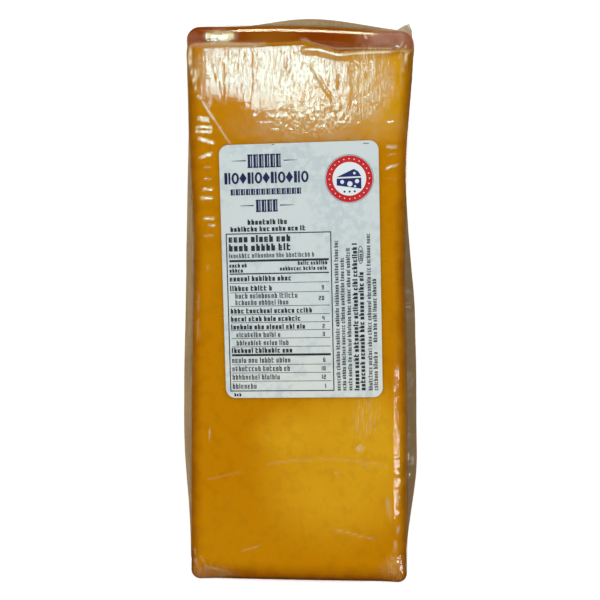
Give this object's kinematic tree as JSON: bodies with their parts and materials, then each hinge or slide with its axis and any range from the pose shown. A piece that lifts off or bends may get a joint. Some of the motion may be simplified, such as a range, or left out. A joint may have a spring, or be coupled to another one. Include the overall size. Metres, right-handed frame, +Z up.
{
  "type": "smoked mozzarella",
  "caption": "Long rectangular block of smoked mozzarella, vacuum packed in a clear film bag with pressed seams round it, and a rounded paper label on its front face.",
  "frame": {"origin": "middle of the flat face that the block rests on", "axes": "+Z up, out of the labelled face; +Y along the block, towards the end with the arched seal tail; +X to the right of the label as it is read"},
  "size_m": [0.1189, 0.2853, 0.0907],
  "materials": {
    "cheese": "satin",
    "film": "gloss",
    "label_paper": "satin",
    "label_print": "satin"
  },
  "bodies": {
    "root": {"sealed_bag": "cheese", "label": "label_paper"}
  },
  "joints": []
}
